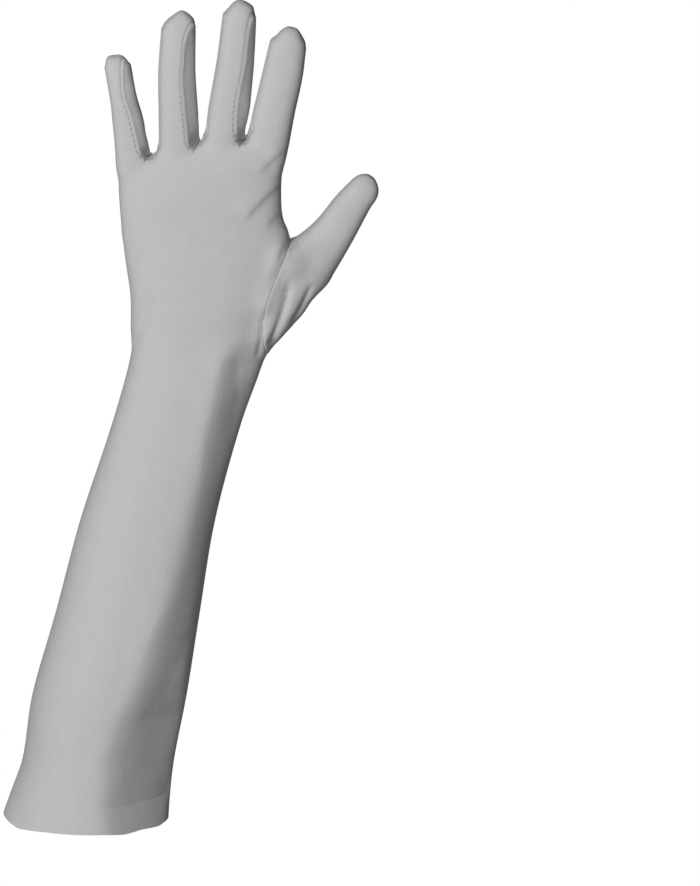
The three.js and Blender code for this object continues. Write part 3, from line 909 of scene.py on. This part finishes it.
def open_cuff(skin):
    """The cuff is cut open at the hem's edge."""
    select_only(skin)
    bpy.ops.object.mode_set(mode="EDIT")
    bpy.ops.mesh.select_all(action="SELECT")
    bpy.ops.mesh.bisect(plane_co=(0, 0, 0), plane_no=(0, 0, 1), clear_inner=True)
    bpy.ops.object.mode_set(mode="OBJECT")


def near_seams(points, fields, reach, long_reach=0):
    """Which points lie near a seam; the hem's and the glove's long side seams have a reach of their own."""
    keep = np.zeros(len(points), bool)
    for name, field in fields.items():
        keep |= np.abs(field(points)) < (long_reach if name in LONG_SEAMS else reach)
    return keep


def in_folds(points):
    """Which points lie in the furrows and folds of the hand's back."""
    keep = np.zeros(len(points), bool)
    for chain, *_ in FURROWS + FOLDS:
        keep |= line_distance(points[:, [0, 2]], rounded(chain))[0] < FOLD_REACH
    return keep & (points[:, 1] < 4) & (points[:, 2] > 200)


def smooth_verts(edit, verts):
    inner = [vertex for vertex in verts if not vertex.is_boundary]
    bmesh.ops.smooth_vert(edit, verts=inner, factor=0.5, use_axis_x=True, use_axis_y=True, use_axis_z=True)


def cut_cloth(skin, fields):
    """The skin is divided finely at its seams and creases, cut along the seams, and its cloth is shaped."""
    edit = bmesh.new()
    edit.from_mesh(skin.data)
    refine(edit, lambda p: near_seams(p, fields, SEAM_REACH, SEAM_REACH * LONG_SEAM_SHARE) | in_folds(p))
    smooth_verts(edit, edit.verts)
    refine(edit, lambda p: near_seams(p, fields, FINE_REACH))
    for field in fields.values():
        cut_along(edit, field)
    edit.normal_update()
    edit.to_mesh(skin.data)
    edit.free()
    mark_pieces(skin, fields)
    points = coordinates(skin.data)
    rolls = seam_roll(points, fields)
    sinks = sink_pits(points, fields)
    even_thumb_seam(skin)
    points = coordinates(skin.data)
    flatten_forearm(points)
    flatten_fingers(points)
    press_webs(points, vertex_normals(skin.data))
    drop_hem(points)
    set_coordinates(skin.data, points)
    normals = vertex_normals(skin.data)
    rise, folds = relief(points, normals)
    points += normals * folds[:, None]
    points[:, 1] += rise
    set_coordinates(skin.data, points)
    normals = vertex_normals(skin.data)
    points += normals * rolls[:, None]
    points[:, 1] += sinks
    set_coordinates(skin.data, points)


def mark_pieces(skin, fields):
    """Each face is given the number of the piece that it belongs to."""
    middles = np.array([p.center for p in skin.data.polygons]) / MM
    number = np.full(len(middles), -1)
    for i, field in enumerate(fields.values()):
        number[(number < 0) & (field(middles) < 0)] = i
    skin.data.attributes.new("piece", "INT", "FACE").data.foreach_set("value", number.astype(np.int32))
    join_scraps(skin)


def join_scraps(skin, small=300):
    """Small scraps of a piece that lie apart from it join the piece around them."""
    edit = bmesh.new()
    edit.from_mesh(skin.data)
    number = edit.faces.layers.int["piece"]
    seen = set()
    for face in edit.faces:
        if face in seen:
            continue
        scrap, around, stack = [], [], [face]
        seen.add(face)
        while stack:
            current = stack.pop()
            scrap.append(current)
            for other in (f for edge in current.edges for f in edge.link_faces if f is not current):
                if other[number] != face[number]:
                    around.append(other[number])
                elif other not in seen:
                    seen.add(other)
                    stack.append(other)
        if len(scrap) < small and around:
            joined = max(set(around), key=around.count)
            for part in scrap:
                part[number] = joined
    edit.to_mesh(skin.data)
    edit.free()


def even_thumb_seam(skin, rounds=8):
    """The thumb's seam is drawn smooth, without the steps of the faces that it crosses."""
    edit = bmesh.new()
    edit.from_mesh(skin.data)
    number = edit.faces.layers.int["piece"]
    line = {}
    for edge in edit.edges:
        if [face[number] == THUMB_NUMBER for face in edge.link_faces] in ([True, False], [False, True]):
            for vertex in edge.verts:
                line.setdefault(vertex, []).append(edge.other_vert(vertex))
    chains = {vertex: near for vertex, near in line.items() if len(near) == 2}
    beside = {edge.other_vert(vertex) for vertex in line for edge in vertex.link_edges} - set(line)
    for _ in range(rounds):
        moved = {vertex: (vertex.co + (near[0].co + near[1].co) / 2) / 2 for vertex, near in chains.items()}
        for vertex, place in moved.items():
            vertex.co = place
    smooth_verts(edit, beside)
    edit.to_mesh(skin.data)
    edit.free()


def part_pieces(skin, names):
    """The cut skin is parted into its pieces; what is left is the back panel."""
    pieces = {}
    for i, name in enumerate(names):
        select_only(skin)
        number = np.empty(len(skin.data.polygons), np.int32)
        skin.data.attributes["piece"].data.foreach_get("value", number)
        bpy.ops.object.mode_set(mode="EDIT")
        bpy.ops.mesh.select_mode(type="FACE")
        bpy.ops.object.mode_set(mode="OBJECT")
        skin.data.polygons.foreach_set("select", number == i)
        bpy.ops.object.mode_set(mode="EDIT")
        bpy.ops.mesh.separate(type="SELECTED")
        bpy.ops.object.mode_set(mode="OBJECT")
        pieces[name] = [o for o in bpy.context.selected_objects if o is not skin][0]
    pieces["back_panel"] = skin
    return pieces


def ease_edges(piece, gap):
    """The piece's raw edges draw back a little from the seam."""
    edit = bmesh.new()
    edit.from_mesh(piece.data)
    moves = {}
    for vertex in edit.verts:
        if vertex.is_boundary and vertex.co.z > (HEM_HEIGHT + 1) * MM:
            inner = [e.other_vert(vertex) for e in vertex.link_edges if not e.is_boundary]
            if inner:
                target = sum((v.co for v in inner), Vector()) / len(inner)
                step = target - vertex.co
                if step.length > 1e-7:
                    moves[vertex] = step.normalized() * min(gap * MM, step.length / 2)
    for vertex, step in moves.items():
        vertex.co += step
    edit.to_mesh(piece.data)
    edit.free()


# ---- materials

def srgb(code):
    """A colour such as "#BABABA" as linear values."""
    values = [int(code[i:i + 2], 16) / 255 for i in (1, 3, 5)]
    return [v / 12.92 if v <= 0.04045 else ((v + 0.055) / 1.055) ** 2.4 for v in values] + [1.0]


def set_values(node, values):
    for socket, value in values.items():
        node.inputs[socket].default_value = value


def add_node(tree, kind, links=None, values=None, **settings):
    """Adds a node with its settings, links its inputs and sets the values of others."""
    node = tree.nodes.new(kind)
    for key, value in settings.items():
        setattr(node, key, value)
    for socket, source in (links or {}).items():
        tree.links.new(source, node.inputs[socket])
    set_values(node, values or {})
    return node


def stretch_knit(name, colour, wale=0.62):
    """Matte fine jersey: pale grey with faint streaks along the wales and soft mottling."""
    material = bpy.data.materials.new(name)
    material.use_nodes = True
    tree = material.node_tree
    shader = tree.nodes["Principled BSDF"]
    set_values(shader, {"Roughness": 0.9, "Specular IOR Level": 0.25})
    place = add_node(tree, "ShaderNodeTexCoord").outputs["Object"]

    # Faint streaks 1.6 mm wide and 14 mm long, and mottling of 9 mm
    streak_map = add_node(
        tree, "ShaderNodeMapping", {"Vector": place}, {"Scale": (1000 / 1.6, 1000 / 1.6, 1000 / 14)}
    )
    streaks = add_node(
        tree, "ShaderNodeTexNoise", {"Vector": streak_map.outputs[0]}, {"Scale": 1.0, "Detail": 3.0}
    )
    mottle = add_node(tree, "ShaderNodeTexNoise", {"Vector": place}, {"Scale": 1000 / 9, "Detail": 4.0})
    both = add_node(tree, "ShaderNodeMath", {0: streaks.outputs["Fac"], 1: mottle.outputs["Fac"]}, operation="ADD")
    tone = add_node(
        tree,
        "ShaderNodeMapRange",
        {"Value": both.outputs[0]},
        {"From Min": 0.6, "From Max": 1.4, "To Min": 0.97, "To Max": 1.03},
    )
    shade = add_node(
        tree,
        "ShaderNodeMix",
        {7: tone.outputs["Result"]},
        {"Factor": 1.0, 6: srgb(colour)},
        data_type="RGBA",
        blend_type="MULTIPLY",
    )
    tree.links.new(shade.outputs[2], shader.inputs["Base Color"])

    # Bumps of the knitted loops, and soft unevenness of 5 mm
    knit_map = add_node(
        tree, "ShaderNodeMapping", {"Vector": place}, {"Scale": (1000 / wale, 1000 / wale, 1000 / (wale * 0.8))}
    )
    loops = add_node(
        tree, "ShaderNodeTexVoronoi", {"Vector": knit_map.outputs[0]}, {"Scale": 1.0, "Randomness": 0.55}
    )
    knit_bump = add_node(
        tree,
        "ShaderNodeBump",
        {"Height": loops.outputs["Distance"]},
        {"Strength": 0.35, "Distance": 0.12 * MM},
        invert=True,
    )
    soft = add_node(tree, "ShaderNodeTexNoise", {"Vector": place}, {"Scale": 1000 / 5, "Detail": 2.0})
    soft_bump = add_node(
        tree,
        "ShaderNodeBump",
        {"Height": soft.outputs["Fac"], "Normal": knit_bump.outputs[0]},
        {"Strength": 0.25, "Distance": 0.5 * MM},
    )
    tree.links.new(soft_bump.outputs[0], shader.inputs["Normal"])
    return material


# ---- studio

KEY_PLACE = (-1.6, -3.68, 2.2)
KEY_SIZE = 1.45
KEY_POWER = 176
LIT_POINT = (0.06, 0, 0.24)
FLOOR_HEIGHT = -0.45
CAMERA_DISTANCE = 8.0
CAMERA_ELEVATION = 14
VIEW_HEIGHT = 0.443  # what the picture's longer side spans
AIM = (0.13275, 0, 0.19015)


def white_to_camera(tree, lit, strength=1.0, kind="ShaderNodeEmission"):
    """White where the camera sees it, and the given shader for the light."""
    white = add_node(tree, kind, values={"Color": (1, 1, 1, 1), "Strength": strength})
    ray = add_node(tree, "ShaderNodeLightPath")
    return add_node(tree, "ShaderNodeMixShader", {0: ray.outputs["Is Camera Ray"], 1: lit, 2: white.outputs[0]})


def studio():
    """White studio: soft key from the left of the camera, dim room, pale floor well below the glove."""
    scene = bpy.context.scene
    scene.view_settings.view_transform = "Standard"
    world = bpy.data.worlds.new("studio")
    scene.world = world
    world.use_nodes = True
    tree = world.node_tree
    tree.nodes.clear()
    room = add_node(tree, "ShaderNodeBackground", values={"Color": (1, 1, 1, 1), "Strength": 0.06})
    mix = white_to_camera(tree, room.outputs[0], kind="ShaderNodeBackground")
    add_node(tree, "ShaderNodeOutputWorld", {0: mix.outputs[0]})

    bpy.ops.mesh.primitive_plane_add(size=60, location=(0, 0, FLOOR_HEIGHT))
    floor = bpy.context.object
    floor.name = "studio_floor"
    # Pale grey background paper, burnt out to white for the camera
    finish = bpy.data.materials.new("studio_floor_paper")
    finish.use_nodes = True
    tree = finish.node_tree
    paint = tree.nodes["Principled BSDF"]
    set_values(paint, {"Base Color": (0.55, 0.55, 0.55, 1), "Roughness": 0.9})
    mix = white_to_camera(tree, paint.outputs[0])
    tree.links.new(mix.outputs[0], tree.nodes["Material Output"].inputs["Surface"])
    floor.data.materials.append(finish)

    light = bpy.data.lights.new("key", "AREA")
    light.shape = "SQUARE"
    light.size = KEY_SIZE
    light.energy = KEY_POWER
    key = bpy.data.objects.new("key", light)
    scene.collection.objects.link(key)
    key.location = KEY_PLACE
    key.rotation_euler = (Vector(LIT_POINT) - Vector(KEY_PLACE)).to_track_quat("-Z", "Y").to_euler()
    key.visible_camera = False

    lens = bpy.data.cameras.new("camera")
    lens.lens = lens.sensor_width * CAMERA_DISTANCE / VIEW_HEIGHT
    lens.clip_end = 200
    camera = bpy.data.objects.new("camera", lens)
    scene.collection.objects.link(camera)
    elevation = math.radians(CAMERA_ELEVATION)
    camera.location = Vector(AIM) + Vector((0, -math.cos(elevation), math.sin(elevation))) * CAMERA_DISTANCE
    camera.rotation_euler = (math.pi / 2 - elevation, 0, 0)
    scene.camera = camera


# ---- stitches

def stitch_places(skin_tree):
    """Where each stitch of the sewn lines lies: halfway between two needle holes near the fingers' feet."""
    places = []
    for chain in SEWN_LINES.values():
        curve = np.array(rounded(chain))
        walked = np.concatenate([[0], np.cumsum(np.linalg.norm(np.diff(curve, axis=0), axis=1))])
        for walk in np.arange(STITCH_PITCH / 2, STITCHED_LENGTH, STITCH_PITCH):
            ends = []
            for at in (walk - 0.6, walk, walk + 0.6):
                x, z = np.interp(at, walked, curve[:, 0]), np.interp(at, walked, curve[:, 1])
                ends.append(skin_tree.ray_cast(Vector((x, VIEWER, z)) * MM, Vector((0, 1, 0))))
            if all(end[0] for end in ends):
                places.append((ends[1][0], ends[1][1], (ends[2][0] - ends[0][0]).normalized()))
    return places


def sew(places, length, thickness):
    """Every stitch is a copy of one small pillow of thread."""
    bpy.ops.mesh.primitive_uv_sphere_add(segments=6, ring_count=5, radius=0.5)
    seed = bpy.context.object
    shape = np.array([v.co for v in seed.data.vertices]) * (length * MM, thickness * MM, thickness * MM)
    faces = [list(p.vertices) for p in seed.data.polygons]
    bpy.data.objects.remove(seed)
    points, all_faces = [], []
    for hit, normal, run in places:
        side = normal.cross(run)
        turn = np.array([run, side, normal]).T
        start = len(points)
        points.extend((shape @ turn.T + np.array(hit + normal * 0.02 * MM)).tolist())
        all_faces.extend([[i + start for i in f] for f in faces])
    mesh = bpy.data.meshes.new("seam_stitches")
    mesh.from_pydata(points, [], all_faces)
    obj = bpy.data.objects.new("seam_stitches", mesh)
    bpy.context.scene.collection.objects.link(obj)
    smooth_faces(mesh)
    return obj


# ---- making

studio()
skin = glove_form()
open_cuff(skin)
fields = seam_fields(tree_of(skin))
cut_cloth(skin, fields)
places = stitch_places(tree_of(skin))
pieces = part_pieces(skin, list(fields))
# The glove's cloth: fine matte jersey of nylon and elastane, in pale grey
knit = stretch_knit("pale grey stretch knit", "#BEBEBE")
# The seams' sewing thread: twisted polyester, a little lighter than the cloth
thread = stretch_knit("grey sewing thread", "#C6C6C6", wale=0.3)
for name, piece in pieces.items():
    piece.name = "knit_" + name
    ease_edges(piece, SEAM_GAP)
    thickness = HEM_THICKNESS if name == "cuff_hem" else CLOTH
    use_modifier(piece, "SOLIDIFY", thickness=thickness * MM, offset=-1, use_even_offset=False)
    piece.data.materials.clear()
    piece.data.materials.append(knit)
    smooth_faces(piece.data)
    select_only(piece)
    bpy.ops.object.shade_smooth_by_angle(angle=math.radians(50))
    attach(piece, "root")
    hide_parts(name)
stitches = sew(places, STITCH_LENGTH, STITCH_THICKNESS)
stitches.data.materials.append(thread)
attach(stitches, "root")

bpy.ops.object.select_all(action="DESELECT")
